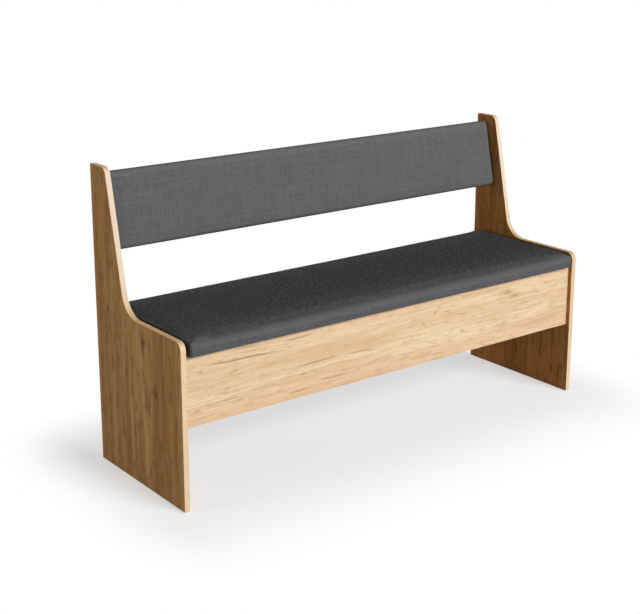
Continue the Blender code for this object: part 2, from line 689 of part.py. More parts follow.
def add_bracket(side):
    # An angle behind the backrest's end: one leg on its rear face, one on the side panel
    sign = SIDES[side]
    outer = INNER_X - FIT_GAP
    inner = outer - BRACKET_LEG
    thick = BRACKET_THICKNESS
    angle = [
        (inner, -FIT_GAP),
        (inner, -FIT_GAP - thick),
        (outer - thick, -FIT_GAP - thick),
        (outer - thick, -FIT_GAP - BRACKET_LEG),
        (outer, -FIT_GAP - BRACKET_LEG),
        (outer, -FIT_GAP),
    ]
    name = "backrest_bracket_" + side
    mesh = outline_mesh(name, [(sign * x, z) for x, z in angle], BRACKET_LENGTH)
    bracket = place(name, mesh, STEEL, (0.0, 0.0, 0.0), TO_FRONT, backrest_plane)
    rear_x = sign * (inner + BRACKET_SCREW_INSET)
    side_z = BRACKET_SCREW_INSET - FIT_GAP - BRACKET_LEG
    into_panel = TO_LEFT if sign > 0 else TO_RIGHT
    for end, step in (("lower", -1), ("upper", 1)):
        up = step * BRACKET_SCREW_SPACING / 2
        screw = "bracket_screw_" + side + "_rear_" + end
        passes = [bracket, backrest_cover, backrest_board]
        add_screw(screw, (rear_x, up, -FIT_GAP - thick), TO_DOWN, passes, backrest_plane)
        screw = "bracket_screw_" + side + "_panel_" + end
        passes = [bracket, panels[side]]
        add_screw(screw, (sign * (outer - thick), up, side_z), into_panel, passes, backrest_plane)


for side in SIDES:
    add_bracket(side)

bpy.context.view_layer.update()
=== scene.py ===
import json
import math

import bmesh
import bpy
from mathutils import Matrix, Vector, noise

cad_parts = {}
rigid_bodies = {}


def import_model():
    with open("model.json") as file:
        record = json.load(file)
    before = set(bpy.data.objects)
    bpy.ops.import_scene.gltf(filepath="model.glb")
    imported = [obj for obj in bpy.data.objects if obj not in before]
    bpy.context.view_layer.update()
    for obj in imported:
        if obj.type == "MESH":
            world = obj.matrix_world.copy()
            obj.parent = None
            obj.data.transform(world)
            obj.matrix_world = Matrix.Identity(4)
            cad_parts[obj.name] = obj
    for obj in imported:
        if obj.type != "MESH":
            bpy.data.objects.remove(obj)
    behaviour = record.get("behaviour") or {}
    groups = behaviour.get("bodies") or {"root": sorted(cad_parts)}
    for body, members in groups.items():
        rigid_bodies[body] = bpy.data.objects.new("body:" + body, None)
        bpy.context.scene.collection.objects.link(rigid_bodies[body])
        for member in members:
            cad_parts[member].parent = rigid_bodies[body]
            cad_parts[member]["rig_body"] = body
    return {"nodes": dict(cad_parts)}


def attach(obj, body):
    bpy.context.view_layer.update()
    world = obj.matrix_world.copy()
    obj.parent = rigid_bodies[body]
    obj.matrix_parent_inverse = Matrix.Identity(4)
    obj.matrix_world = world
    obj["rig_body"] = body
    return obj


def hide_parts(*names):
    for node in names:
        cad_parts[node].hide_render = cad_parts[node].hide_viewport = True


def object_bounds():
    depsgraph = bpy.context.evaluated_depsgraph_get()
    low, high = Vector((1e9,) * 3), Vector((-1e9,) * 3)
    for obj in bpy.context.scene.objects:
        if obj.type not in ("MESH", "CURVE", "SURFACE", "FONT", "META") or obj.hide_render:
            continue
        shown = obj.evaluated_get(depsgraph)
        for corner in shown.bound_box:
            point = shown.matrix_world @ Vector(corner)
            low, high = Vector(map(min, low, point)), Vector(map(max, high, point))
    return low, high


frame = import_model()
nodes = frame["nodes"]
cadBox = [list(corner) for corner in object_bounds()]
scene = bpy.context.scene
scene.view_settings.view_transform = "Standard"
print("frame loaded:", len(nodes), "nodes")


# Shader values: a node's output that can be reckoned with like a number
class Value:
    def __init__(self, node, output=0):
        self.tree, self.socket = node.id_data, node.outputs[output]

    def __add__(self, other):
        return calc("ADD", self, other)

    def __sub__(self, other):
        return calc("SUBTRACT", self, other)

    def __rsub__(self, other):
        return calc("SUBTRACT", other, self)

    def __mul__(self, other):
        return calc("MULTIPLY", self, other)

    def __truediv__(self, other):
        return calc("DIVIDE", self, other)

    def __gt__(self, other):
        return calc("GREATER_THAN", self, other)

    def __lt__(self, other):
        return calc("LESS_THAN", self, other)

    def __abs__(self):
        return calc("ABSOLUTE", self)


def feed(value, socket):
    if isinstance(value, Value):
        value.tree.links.new(value.socket, socket)
    else:
        socket.default_value = (*value, 1.0) if isinstance(value, tuple) else value


def addNode(kind, values, sockets=None, **settings):  # a new node in the tree that the values come from
    tree = next(value.tree for value in values if isinstance(value, Value))
    node = tree.nodes.new("ShaderNode" + kind)
    for words, setting in settings.items():
        setattr(node, words, setting)
    for value, socket in zip(values, sockets or range(len(values))):
        feed(value, node.inputs[socket])
    return node


def calc(operation, *values):
    return Value(addNode("Math", values, operation=operation))


def fade(value, low, high, toLow=0.0, toHigh=1.0):  # smooth step from low to high
    values = (value, low, high, toLow, toHigh)
    return Value(addNode("MapRange", values, interpolation_type="SMOOTHSTEP"))


def tint(amount, first, second, blend="MIX"):
    values = (amount, first, second)
    return Value(addNode("Mix", values, (0, 6, 7), data_type="RGBA", blend_type=blend), 2)


def stain(colour, mask, strength, tone):  # a tone laid over a colour where the mask is strong
    return tint(mask * strength, colour, tone)


def vector(x, y, z):
    return Value(addNode("CombineXYZ", (x, y, z)))


def parts(value):
    node = addNode("SeparateXYZ", (value,))
    return {axis: Value(node, i) for i, axis in enumerate("XYZ")}


def cloud(x, y, xScale, yScale, detail, seed):  # stretched noise, 0 to 1
    values = (vector(x * xScale, y * yScale, seed), 1.0, detail)
    return Value(addNode("TexNoise", values, ("Vector", "Scale", "Detail")), "Fac")


def layer(x, y, look, seed, strength=1.0):  # the part of such noise between two levels
    xScale, yScale, detail, start, full = look
    return fade(cloud(x, y, xScale, yScale, detail, seed), start, full, 0.0, strength)


def drift(x, y, look, seed):  # such noise about zero
    xScale, yScale, detail, reach = look
    return (cloud(x, y, xScale, yScale, detail, seed) - 0.5) * reach


def newFinish(name):
    material = bpy.data.materials.new(name)
    material.use_nodes = True
    where = material.node_tree.nodes.new("ShaderNodeTexCoord")
    return material, parts(Value(where, "Object")), parts(Value(where, "Normal"))


def setLooks(look, colour, height, roughness=None):
    relief = addNode("Bump", (*look["relief"], height), ("Strength", "Distance", "Height"))
    sockets = colour.tree.nodes["Principled BSDF"].inputs
    feed(colour, sockets["Base Color"])
    feed(look["roughness"], sockets["Roughness"])
    if roughness is not None:
        feed(roughness, sockets["Roughness"])
    feed(look["specular"], sockets["Specular IOR Level"])
    feed(look.get("metallic", 0.0), sockets["Metallic"])
    feed(Value(relief), sockets["Normal"])


# Oak decor: long figure, streaks, pores, cracks and knots, all in metres along and across the grain
paleOak = {
    "pale": (0.90, 0.715, 0.49), "golden": (0.83, 0.61, 0.39), "orange": (0.75, 0.51, 0.30),
    "streak": (0.58, 0.38, 0.21), "blush": (0.84, 0.585, 0.39), "crack": (0.45, 0.255, 0.13),
    "knot": (0.45, 0.265, 0.14), "edge": (0.78, 0.58, 0.35),
}
# side panels' oak: deeper and redder than the board's, partly the panels' own tone and mostly painted shade,
# as the panels stand in shade
panelOakPaintedShade = {
    "pale": (0.80, 0.47, 0.205), "golden": (0.67, 0.357, 0.139), "orange": (0.50, 0.236, 0.079),
    "streak": (0.35, 0.155, 0.050), "blush": (0.60, 0.30, 0.115), "crack": (0.17, 0.075, 0.027),
    "knot": (0.15, 0.062, 0.022), "edge": (0.60, 0.39, 0.20),
}
rightPanelPaintedShade = (1.0, 0.86, 0.69)  # painted shade: the right panel's tones made darker and warmer, as its inner face lies in warm shade
shadedOak = {
    words: tuple(part * share for part, share in zip(tone, rightPanelPaintedShade)) for words, tone in panelOakPaintedShade.items()
}

oak = {
    "wander": (3.0, 9.0, 2.0, 0.022),  # drifts: how many to the metre along and across, detail, reach
    "wiggle": (30.0, 30.0, 2.0, 0.006),
    "ragged": (110.0, 260.0, 3.0, 2.2),  # reach in knot radii
    "broad": (1.3, 20.0, 2.0, 0.36, 0.64),  # layers: the same, then the levels that they fade between
    "warm": (2.2, 48.0, 3.0, 0.46, 0.70),
    "pores": (45.0, 900.0, 2.0, 0.58, 0.72),
    "lines": (9.0, 480.0, 3.0, 0.46, 0.72),
    "flecked": (3.5, 16.0, 2.0, 0.40, 0.62),
    "fine": (16.0, 1000.0, 2.0),
    "warmShade": 0.8,
    "poreShade": 0.35,
    "fineShade": (0.25, 0.75, 0.20, 0.0),
    "haloShade": 0.42,
    "coreShade": 0.75,
    "edgeShade": 0.4,
    "blushCore": 0.4,  # share of a blush's width that has its full strength
    "staveJump": 0.61,  # how far the figure jumps from stave to stave
    "staveShade": 0.12,  # how much darker the first stave is
    "crackMiddle": 0.55,  # where along its run a crack is widest
    "crackTaper": (0.5, 0.15),
    "crackSpread": 1.5,
    "knotLength": 2.8,  # length over width
    "knotCore": (1.2, 0.0),
    "knotHalo": (2.4, 0.4),
    "knotBend": -0.2,  # how far the grain gives way, in radii
    "poreDepth": 0.4,
    "markDepth": 0.3,
    "fineDepth": 0.3,
    "sheen": (0.2, 0.8, 0.56, 0.44),  # roughness, by the fine grain
    "roughness": 0.48,
    "specular": 0.03,
    "relief": (0.30, 0.0003),
}
boardPrint = {
    "axes": "XZY",  # along the grain, across it, out of the face
    "flip": 0.0,  # the far face carries the figure the other way round
    "staves": [],  # joints in the print: place across the grain, how much darker beyond it
    "streaks": (0.48, (3.4, 130.0, 4.0, 0.48, 0.74)),  # broad streaks: strength and layer
    "lines": 0.50,  # strength of the fine lines
    "smudges": (0.55, (24.0, 85.0, 3.0, 0.50, 0.74)),  # short soft shadows
    "dashes": (0.70, (10.0, 170.0, 3.0, 0.58, 0.76)),  # short dark flecks
    "tones": paleOak,
}
panelPrint = {
    "axes": "ZYX",
    "flip": 0.8,
    "streaks": (0.55, (3.4, 34.0, 2.5, 0.48, 0.74)),
    "lines": 0.12,
    "smudges": (0.80, (22.0, 55.0, 3.0, 0.50, 0.74)),
    "dashes": (0.85, (10.0, 110.0, 3.0, 0.56, 0.74)),
    "blush": [],
}
frontDecor = {
    **boardPrint,
    "seed": 3.0,
    "blush": [(0.384, 0.022, 0.75), (0.236, 0.030, 0.60)],  # pinker stretches: across, half width, strength
    "cracks": [  # start along and across, end along and across, width, strength
        (-0.657, 0.360, -0.374, 0.352, 0.0027, 0.95), (-0.389, 0.371, -0.282, 0.376, 0.0022, 0.90),
        (-0.354, 0.296, -0.191, 0.299, 0.0022, 0.85), (-0.195, 0.299, -0.067, 0.290, 0.0020, 0.70),
        (-0.290, 0.246, -0.162, 0.243, 0.0022, 0.85), (-0.374, 0.235, -0.314, 0.228, 0.0014, 0.40),
        (0.125, 0.343, 0.143, 0.355, 0.0032, 0.90), (0.032, 0.234, 0.101, 0.235, 0.0030, 0.45),
        (0.196, 0.331, 0.264, 0.325, 0.0028, 0.40), (0.411, 0.243, 0.652, 0.250, 0.0060, 0.35),
        (0.540, 0.304, 0.560, 0.304, 0.0014, 0.50), (0.600, 0.343, 0.618, 0.343, 0.0014, 0.50),
        (-0.633, 0.345, -0.612, 0.348, 0.0036, 0.40), (-0.560, 0.286, -0.534, 0.290, 0.0034, 0.45),
        (-0.523, 0.250, -0.498, 0.253, 0.0034, 0.45), (-0.650, 0.247, -0.622, 0.252, 0.0032, 0.55),
        (-0.332, 0.272, -0.304, 0.275, 0.0036, 0.60), (-0.232, 0.303, -0.216, 0.304, 0.0030, 0.60),
        (0.082, 0.329, 0.100, 0.323, 0.0036, 0.60), (0.226, 0.276, 0.246, 0.278, 0.0038, 0.60),
        (0.330, 0.262, 0.420, 0.268, 0.0034, 0.35), (-0.120, 0.256, -0.020, 0.262, 0.0034, 0.35),
        (-0.020, 0.366, 0.080, 0.370, 0.0030, 0.30), (0.300, 0.372, 0.390, 0.377, 0.0030, 0.30),
    ],
    "knots": [((0.413, 0.357), 0.0062), ((0.443, 0.343), 0.0056)],  # place and radius
}
leftDecor = {
    **panelPrint,
    "staves": [(-0.124, 0.20), (-0.073, -0.34), (0.051, 0.22)],
    "seed": 11.0,
    "tones": panelOakPaintedShade,
    "cracks": [
        (0.004, 0.051, 0.138, 0.051, 0.0020, 0.50), (0.089, -0.073, 0.281, -0.073, 0.0020, 0.50),
        (0.127, -0.124, 0.286, -0.124, 0.0020, 0.45), (0.324, 0.158, 0.381, 0.158, 0.0024, 0.70),
        (0.342, 0.133, 0.416, 0.141, 0.0026, 0.45), (0.042, -0.142, 0.118, -0.106, 0.0030, 0.35),
        (0.372, -0.028, 0.415, -0.017, 0.0030, 0.40), (0.250, -0.083, 0.292, -0.080, 0.0046, 0.80),
        (0.136, 0.012, 0.174, 0.016, 0.0044, 0.65), (0.094, 0.088, 0.128, 0.091, 0.0040, 0.60),
        (0.028, 0.036, 0.060, 0.039, 0.0040, 0.60), (0.180, -0.040, 0.300, -0.036, 0.0036, 0.45),
        (0.020, -0.118, 0.110, -0.124, 0.0040, 0.50), (0.420, 0.172, 0.520, 0.176, 0.0034, 0.50),
        (0.560, 0.150, 0.660, 0.153, 0.0034, 0.40),
    ],
    "knots": [((0.385, -0.024), 0.0085), ((0.268, -0.081), 0.0050), ((0.430, 0.150), 0.0050)],
}
rightDecor = {
    **panelPrint,
    "staves": [(-0.038, 0.24), (0.057, -0.20)],
    "seed": 23.0,
    "tones": shadedOak,
    "cracks": [
        (0.004, 0.057, 0.118, 0.057, 0.0022, 0.50), (0.004, -0.038, 0.155, -0.038, 0.0022, 0.50),
        (0.460, 0.142, 0.543, 0.169, 0.0028, 0.45), (0.240, 0.020, 0.350, 0.024, 0.0020, 0.45),
        (0.060, -0.088, 0.160, -0.094, 0.0046, 0.70), (0.020, 0.010, 0.120, 0.014, 0.0040, 0.55),
        (0.180, 0.118, 0.230, 0.122, 0.0040, 0.60),
    ],
    "knots": [((0.610, 0.150), 0.0050)],
}
rearDecor = {
    **boardPrint,
    "seed": 37.0,
    "blush": [(0.300, 0.026, 0.50)],
    "cracks": [
        (-0.480, 0.330, -0.250, 0.336, 0.0020, 0.60), (-0.120, 0.262, 0.060, 0.258, 0.0018, 0.55),
        (0.240, 0.352, 0.430, 0.346, 0.0020, 0.65), (0.350, 0.250, 0.520, 0.254, 0.0022, 0.50),
    ],
    "knots": [((0.030, 0.330), 0.0060), ((0.505, 0.300), 0.0050)],
}


def crackMark(along, across, wiggle, mark):  # a line that tapers to both ends
    startAlong, startAcross, endAlong, endAcross, width, strength = mark
    run = (along - startAlong) / (endAlong - startAlong)
    line = run * (endAcross - startAcross) + startAcross
    gap = abs(across + wiggle - line)
    middle = abs(run - oak["crackMiddle"])
    taper = fade(middle, *oak["crackTaper"], 0.0, strength)
    return fade(gap, width * oak["crackSpread"], 0.0) * taper


def knotMark(along, across, ragged, mark):  # core and halo round a small branch
    (knotAlong, knotAcross), radius = mark
    runs = (along - knotAlong) / (radius * oak["knotLength"])
    rise = (across - knotAcross) / radius
    square = runs * runs + rise * rise
    distance = calc("SQRT", square) + ragged
    core = fade(distance, *oak["knotCore"])
    halo = fade(distance, *oak["knotHalo"])
    bend = rise * (radius * oak["knotBend"]) * halo
    return core, halo, bend


def oakFinish(name, decor):
    material, place, facing = newFinish(name)
    tones, seed = decor["tones"], decor["seed"]
    alongAxis, acrossAxis, faceAxis = decor["axes"]
    far = facing[faceAxis] > 0.5
    turned = decor["flip"] - place[alongAxis]
    change = turned - place[alongAxis]
    along = far * change + place[alongAxis]
    across = place[acrossAxis]
    wiggle = drift(along, across, oak["wiggle"], seed)
    ragged = drift(along, across, oak["ragged"], seed)
    grain = drift(along, across, oak["wander"], seed) + across
    core = halo = crack = 0.0
    for mark in decor["knots"]:
        newCore, newHalo, bend = knotMark(along, across, ragged, mark)
        core = calc("MAXIMUM", core, newCore)
        halo = calc("MAXIMUM", halo, newHalo)
        grain = grain + bend
    for mark in decor["cracks"]:
        crack = calc("MAXIMUM", crack, crackMark(along, across, wiggle, mark))
    darker = oak["staveShade"]
    for edge, shift in decor["staves"]:
        beyond = across > edge
        along = beyond * oak["staveJump"] + along
        darker = beyond * shift + darker
    streakShade, streakLook = decor["streaks"]
    smudgeShade, smudgeLook = decor["smudges"]
    dashShade, dashLook = decor["dashes"]
    broad = layer(along, grain, oak["broad"], seed + 1.0)
    warm = layer(along, grain, oak["warm"], seed + 2.0)
    streaks = layer(along, grain, streakLook, seed + 3.0)
    fine = cloud(along, grain, *oak["fine"], seed + 4.0)
    pores = layer(along, grain, oak["pores"], seed + 5.0)
    lines = layer(along, grain, oak["lines"], seed + 6.0)
    flecks = layer(along, grain, dashLook, seed + 7.0)
    flecked = layer(along, across, oak["flecked"], seed + 8.0)
    smudges = layer(along, grain, smudgeLook, seed + 9.0, smudgeShade)
    colour = tint(broad, tones["pale"], tones["golden"])
    colour = stain(colour, warm, oak["warmShade"], tones["orange"])
    if decor["staves"]:
        colour = tint(darker, colour, tones["streak"])
    for middle, halfWidth, strength in decor["blush"]:
        off = abs(grain - middle)
        band = fade(off, halfWidth, halfWidth * oak["blushCore"], 0.0, strength)
        colour = tint(band, colour, tones["blush"])
    colour = stain(colour, streaks, streakShade, tones["streak"])
    colour = tint(smudges, colour, tones["streak"])
    colour = stain(colour, lines, decor["lines"], tones["streak"])
    colour = stain(colour, pores, oak["poreShade"], tones["streak"])
    colour = tint(fade(fine, *oak["fineShade"]), colour, tones["streak"])
    colour = stain(colour, flecks * flecked, dashShade, tones["crack"])
    colour = stain(colour, halo, oak["haloShade"], tones["streak"])
    colour = tint(crack, colour, tones["crack"])
    colour = stain(colour, core, oak["coreShade"], tones["knot"])
    edgeOn = abs(facing[faceAxis]) < 0.5
    edgeStreaks = fade(streaks, 0.0, 1.0, 0.0, oak["edgeShade"])
    colour = tint(edgeOn, colour, tint(edgeStreaks, tones["edge"], tones["streak"]))
    marks = calc("MAXIMUM", crack, core) * oak["markDepth"]
    sunk = pores * oak["poreDepth"] + marks
    height = fine * oak["fineDepth"] - sunk
    setLooks(oak, colour, height, fade(fine, *oak["sheen"]))
    return material


edgeStrip = {
    "pale": (0.86, 0.66, 0.435), "golden": (0.80, 0.58, 0.36), "streak": (0.66, 0.45, 0.255),
    "line": (0.55, 0.36, 0.19),
    "slant": (0.86, 0.71, 0.56),  # painted highlight: paler above the seat, where the slant faces up towards the light
    "shoulder": (0.90, 0.79, 0.60),  # painted shade: darker and warmer where it faces up, away from the front light
    "broad": (2.0, 60.0, 2.0, 0.35, 0.65), "streaks": (6.0, 420.0, 3.0, 0.48, 0.74),
    "streakShade": 0.5, "fine": (25.0, 1600.0, 2.0), "fineShade": (0.3, 0.8, 0.0, 0.25),
    "slantPaintedLight": (0.44, 0.56, 0.0, 0.75),  # heights, then strengths of the painted highlight
    "shoulderPaintedShade": (0.50, 0.90, 0.0, 0.9), "roughness": 0.50, "specular": 0.05,
    "relief": (0.2, 0.0002),
}


def edgeStripFinish(name):  # the grain follows the strip round the panel
    material, place, facing = newFinish(name)
    along, across = place["Z"] + place["Y"], place["X"]
    broad = layer(along, across, edgeStrip["broad"], 5.0)
    streaks = layer(along, across, edgeStrip["streaks"], 6.0)
    fine = cloud(along, across, *edgeStrip["fine"], 7.0)
    colour = tint(broad, edgeStrip["pale"], edgeStrip["golden"])
    colour = stain(colour, streaks, edgeStrip["streakShade"], edgeStrip["streak"])
    colour = tint(fade(fine, *edgeStrip["fineShade"]), colour, edgeStrip["line"])
    # painted highlight on the slant above the seat
    colour = tint(fade(place["Z"], *edgeStrip["slantPaintedLight"]), colour, edgeStrip["slant"])
    # painted shade on the faces that look up
    paintedUpShade = fade(facing["Z"], *edgeStrip["shoulderPaintedShade"])
    colour = tint(paintedUpShade, colour, edgeStrip["shoulder"], "MULTIPLY")
    setLooks(edgeStrip, colour, fine)
    return material


# Upholstery cloth: a plain weave with slubs in both directions
fabric = {
    "tone": (0.118, 0.120, 0.125),
    "deep": (0.092, 0.094, 0.098),
    # pale tone of the slubs and bands, and of the painted highlight along the roll
    "lit": (0.205, 0.209, 0.216),
    "gap": (0.050, 0.051, 0.054),
    "pitch": 0.0011,
    "wall": 0.7,  # how far a wall faces out before the weave turns with it
    "uneven": (130.0, 130.0, 1.0),
    "unevenReach": 0.0006,
    "crossing": 0.25,  # how softly one thread goes under the other
    "slubs": (20.0, 330.0, 3.0, 0.48, 0.76),
    "thin": (26.0, 300.0, 3.0, 0.50, 0.74),
    "bands": (8.0, 110.0, 2.0, 0.42, 0.68),
    "mottle": (240.0, 240.0, 3.0),
    "mottleShade": (0.3, 0.7, 0.3, 1.0),
    "thinShade": 0.5,
    "gapShade": (0.15, 0.6, 0.4, 0.0),
    "rollStart": (0.0, 0.4),  # painted highlight: paler along the roll, by how far it faces out of the board
    "rollEnd": (0.99, 0.85),
    "rollPaintedHighlight": 0.22,
    "flat": (0.9, 0.99),
    "flatReach": (0.175, 0.06),  # painted shade: darker inside this distance from the pad's middle line
    # flecks on the flat top: the weave's texture, partly painted shade in their dark flecks
    "napWeft": (70.0, 240.0, 3.0),
    "napWarp": (190.0, 70.0, 3.0),
    "napLevels": (0.74, 1.26),
    # painted shade: where the cloth turns away from the front, by how far it faces out of the board
    "edge": (0.72, 0.15),
    "slubRelief": 0.6,
    "roughness": 0.92,
    "specular": 0.02,
    "relief": (0.45, 0.0004),
}
seatWeave = {
    "strength": 0.92,  # of all tones
    "slubs": 0.42,
    "bands": 0.12,
    "paintedTopShade": 0.68,  # painted shade: what is left of the tone on the flat middle of the top
    "specks": 0.46,
    "edgeShade": 0.0,
}
backrestWeave = {
    "strength": 1.10, "slubs": 0.32, "bands": 0.16, "paintedTopShade": 1.0, "specks": 0.05,
    # painted shade round the backrest's edges
    "edgeShade": 0.50,
}
black = (0.0, 0.0, 0.0)


def crossed(weft, warp, look, seed):  # one layer along the weft, another along the warp
    xScale, yScale, *rest = look
    turned = (yScale, xScale, *rest)
    return layer(weft, warp, look, seed), layer(weft, warp, turned, seed + 1.0)


def fabricFinish(name, weave):
    material, place, facing = newFinish(name)
    tone, deep, lit, gap = (
        tuple(part * weave["strength"] for part in fabric[words]) for words in ("tone", "deep", "lit", "gap")
    )
    out = facing["Z"]
    endWall = abs(facing["X"]) > fabric["wall"]
    sideWall = abs(facing["Y"]) > fabric["wall"]
    weft = place["Z"] * endWall + place["X"]
    warp = place["Z"] * sideWall + place["Y"]
    turns = math.pi / fabric["pitch"]
    uneven = cloud(weft, warp, *fabric["uneven"], 1.0) * fabric["unevenReach"]
    weftWave = calc("SINE", (weft + uneven) * turns)
    warpWave = calc("SINE", (warp + uneven) * turns)
    both = weftWave * warpWave
    over = fade(both, -fabric["crossing"], fabric["crossing"])
    upper = abs(weftWave) * over
    lower = abs(warpWave) * (1.0 - over)
    thread = upper + lower
    slubs = crossed(weft, warp, fabric["slubs"], 2.0)
    thin = crossed(weft, warp, fabric["thin"], 6.0)
    bands = crossed(weft, warp, fabric["bands"], 9.0)
    mottle = cloud(weft, warp, *fabric["mottle"], 4.0)
    colour = tint(fade(mottle, *fabric["mottleShade"]), deep, tone)
    colour = stain(colour, calc("MAXIMUM", *thin), fabric["thinShade"], deep)
    colour = stain(colour, calc("MAXIMUM", *slubs), weave["slubs"], lit)
    colour = stain(colour, calc("MAXIMUM", *bands), weave["bands"], lit)
    colour = tint(fade(thread, *fabric["gapShade"]), colour, gap)
    # painted highlight along the roll
    roll = fade(out, *fabric["rollStart"]) * fade(out, *fabric["rollEnd"])
    colour = stain(colour, roll, fabric["rollPaintedHighlight"], lit)
    # painted shade on the flat middle of the top
    inner = fade(abs(place["Y"]), *fabric["flatReach"], 0.0, 1.0 - weave["paintedTopShade"])
    paintedTopShadeMask = fade(out, *fabric["flat"]) * inner
    colour = tint(paintedTopShadeMask, colour, black)
    # flecks on the flat top: the weave's texture at a low angle, partly painted shade in their dark flecks
    napWeft = cloud(weft, warp, *fabric["napWeft"], 8.0)
    napWarp = cloud(weft, warp, *fabric["napWarp"], 11.0)
    nap = fade(napWeft + napWarp, *fabric["napLevels"])
    topSpecksAndShade = fade(out, *fabric["flat"], 0.0, weave["specks"])
    colour = tint(topSpecksAndShade, colour, tint(nap, black, tone))
    # painted shade: darker where the cloth turns away round the backrest's edges
    paintedEdgeShade = fade(out, *fabric["edge"], 0.0, weave["edgeShade"])
    colour = tint(paintedEdgeShade, colour, black)
    raised = calc("ADD", *slubs) * fabric["slubRelief"]
    setLooks(fabric, colour, thread + raised)
    return material


# Plain finishes of what shows from behind, from below and inside the box
liningLook = {
    "tones": ((0.016, 0.016, 0.017), (0.040, 0.040, 0.042)), "dot": (0.010, 0.010, 0.011),
    "fibres": (900.0, 900.0, 3.0), "dots": 2600.0, "dotShade": (0.55, 0.8, 0.0, 0.5),
    "roughness": 0.85, "specular": 0.3, "relief": (0.3, 0.0003),
}
fibreboard = {
    "tones": ((0.25, 0.16, 0.09), (0.36, 0.245, 0.145)), "stain": (0.29, 0.18, 0.10),
    "hairs": (420.0, 420.0, 4.0), "hairLevels": (0.3, 0.7), "stains": (9.0, 9.0, 3.0, 0.35, 0.7),
    "stainShade": 0.35, "roughness": 0.72, "specular": 0.3, "relief": (0.25, 0.0003),
}
chipboard = {
    "tones": ((0.40, 0.28, 0.16), (0.66, 0.52, 0.34)), "dust": (0.34, 0.23, 0.13), "flakes": 260.0,
    "specks": (700.0, 700.0, 3.0, 0.35, 0.7), "speckShade": 0.4, "roughness": 0.85, "specular": 0.3,
    "relief": (0.3, 0.0004),
}
metal = {
    "blotches": (260.0, 260.0, 3.0), "blotchLevels": (0.3, 0.7), "blotchRough": 0.18,
    "scratches": (90.0, 2600.0, 2.0, 0.6, 0.75), "scratchRough": 0.15, "specular": 0.5,
    "metallic": 1.0, "relief": (0.12, 0.0001),
}
zinc = {**metal, "tones": ((0.44, 0.45, 0.47), (0.33, 0.34, 0.37)), "roughness": 0.36}
castMetal = {**metal, "tones": ((0.40, 0.40, 0.41), (0.29, 0.29, 0.31)), "roughness": 0.48}
glidePlastic = {
    "tones": ((0.07, 0.038, 0.022), (0.11, 0.062, 0.036)), "pebbles": (1800.0, 1800.0, 2.0),
    "roughness": 0.55, "specular": 0.4, "relief": (0.2, 0.0002),
}


def liningFinish(name):  # pressed black fibre cloth with a dotted emboss
    material, place, _ = newFinish(name)
    fibres = cloud(place["X"], place["Y"], *liningLook["fibres"], 1.0)
    waves = [calc("SINE", place[axis] * liningLook["dots"]) for axis in "XY"]
    dots = calc("MULTIPLY", *waves)
    colour = tint(fibres, *liningLook["tones"])
    colour = tint(fade(dots, *liningLook["dotShade"]), colour, liningLook["dot"])
    setLooks(liningLook, colour, fibres - dots)
    return material


def fibreboardFinish(name):
    material, place, _ = newFinish(name)
    hairs = cloud(place["X"], place["Y"], *fibreboard["hairs"], 1.0)
    stains = layer(place["X"], place["Y"], fibreboard["stains"], 2.0, fibreboard["stainShade"])
    colour = tint(fade(hairs, *fibreboard["hairLevels"]), *fibreboard["tones"])
    setLooks(fibreboard, tint(stains, colour, fibreboard["stain"]), hairs)
    return material


def chipboardFinish(name):  # flakes pressed flat
    material, place, _ = newFinish(name)
    flakes = addNode("TexVoronoi", (vector(*place.values()), chipboard["flakes"]), ("Vector", "Scale"))
    shade = parts(Value(flakes, "Color"))["X"]
    specks = layer(place["X"], place["Y"], chipboard["specks"], 2.0, chipboard["speckShade"])
    colour = tint(specks, tint(shade, *chipboard["tones"]), chipboard["dust"])
    setLooks(chipboard, colour, shade)
    return material


def metalFinish(name, look):  # plated or cast metal with faint mottling and scratches
    material, place, _ = newFinish(name)
    around = place["Y"] + place["Z"]
    blotches = cloud(place["X"], around, *look["blotches"], 1.0)
    scratches = layer(place["X"], around, look["scratches"], 2.0)
    colour = tint(fade(blotches, *look["blotchLevels"]), *look["tones"])
    least = look["roughness"] - look["blotchRough"] / 2
    rough = blotches * look["blotchRough"] + least
    rough = scratches * look["scratchRough"] + rough
    setLooks(look, colour, blotches - scratches, rough)
    return material


def plasticFinish(name):
    material, place, _ = newFinish(name)
    around = place["Y"] + place["Z"]
    pebbles = cloud(place["X"], around, *glidePlastic["pebbles"], 1.0)
    setLooks(glidePlastic, tint(pebbles, *glidePlastic["tones"]), pebbles)
    return material


seatCloth = fabricFinish("anthracite_seat_weave", seatWeave)
backrestCloth = fabricFinish("anthracite_backrest_weave", backrestWeave)
backing = liningFinish("black_backing")
steel = metalFinish("zinc_plate", zinc)
alloy = metalFinish("cast_alloy", castMetal)
chip = chipboardFinish("bare_chipboard")
edging = edgeStripFinish("oak_edging")
finishes = {  # first words of a node's name, longest match wins
    "side_panel_left": oakFinish("oak_left_side", leftDecor),
    "side_panel_right": oakFinish("oak_right_side", rightDecor),
    "side_edge_band": edging,
    "front_board": oakFinish("oak_front_board", frontDecor),
    "rear_board": oakFinish("oak_rear_board", rearDecor),
    "bottom_panel": fibreboardFinish("bare_fibreboard"),
    "seat_board": chip,
    "backrest_board": chip,
    "glide": plasticFinish("brown_glide_plastic"),
    "cam_lock": alloy,
    "cam_dowel": steel,
    "hinge": steel,
    "backrest_bracket": steel,
    "bracket_screw": steel,
    "seat_cover": seatCloth,
    "seat_foam": seatCloth,
    "backrest_cover": backrestCloth,
    "backrest_foam": backrestCloth,
    "seat_lining": backing,
    "backrest_lining": backing,
}
for name, node in nodes.items():
    match = max((words for words in finishes if name.startswith(words)), key=len)
    node.data.materials.clear()
    node.data.materials.append(finishes[match])
print("finishes set on", len(nodes), "nodes")


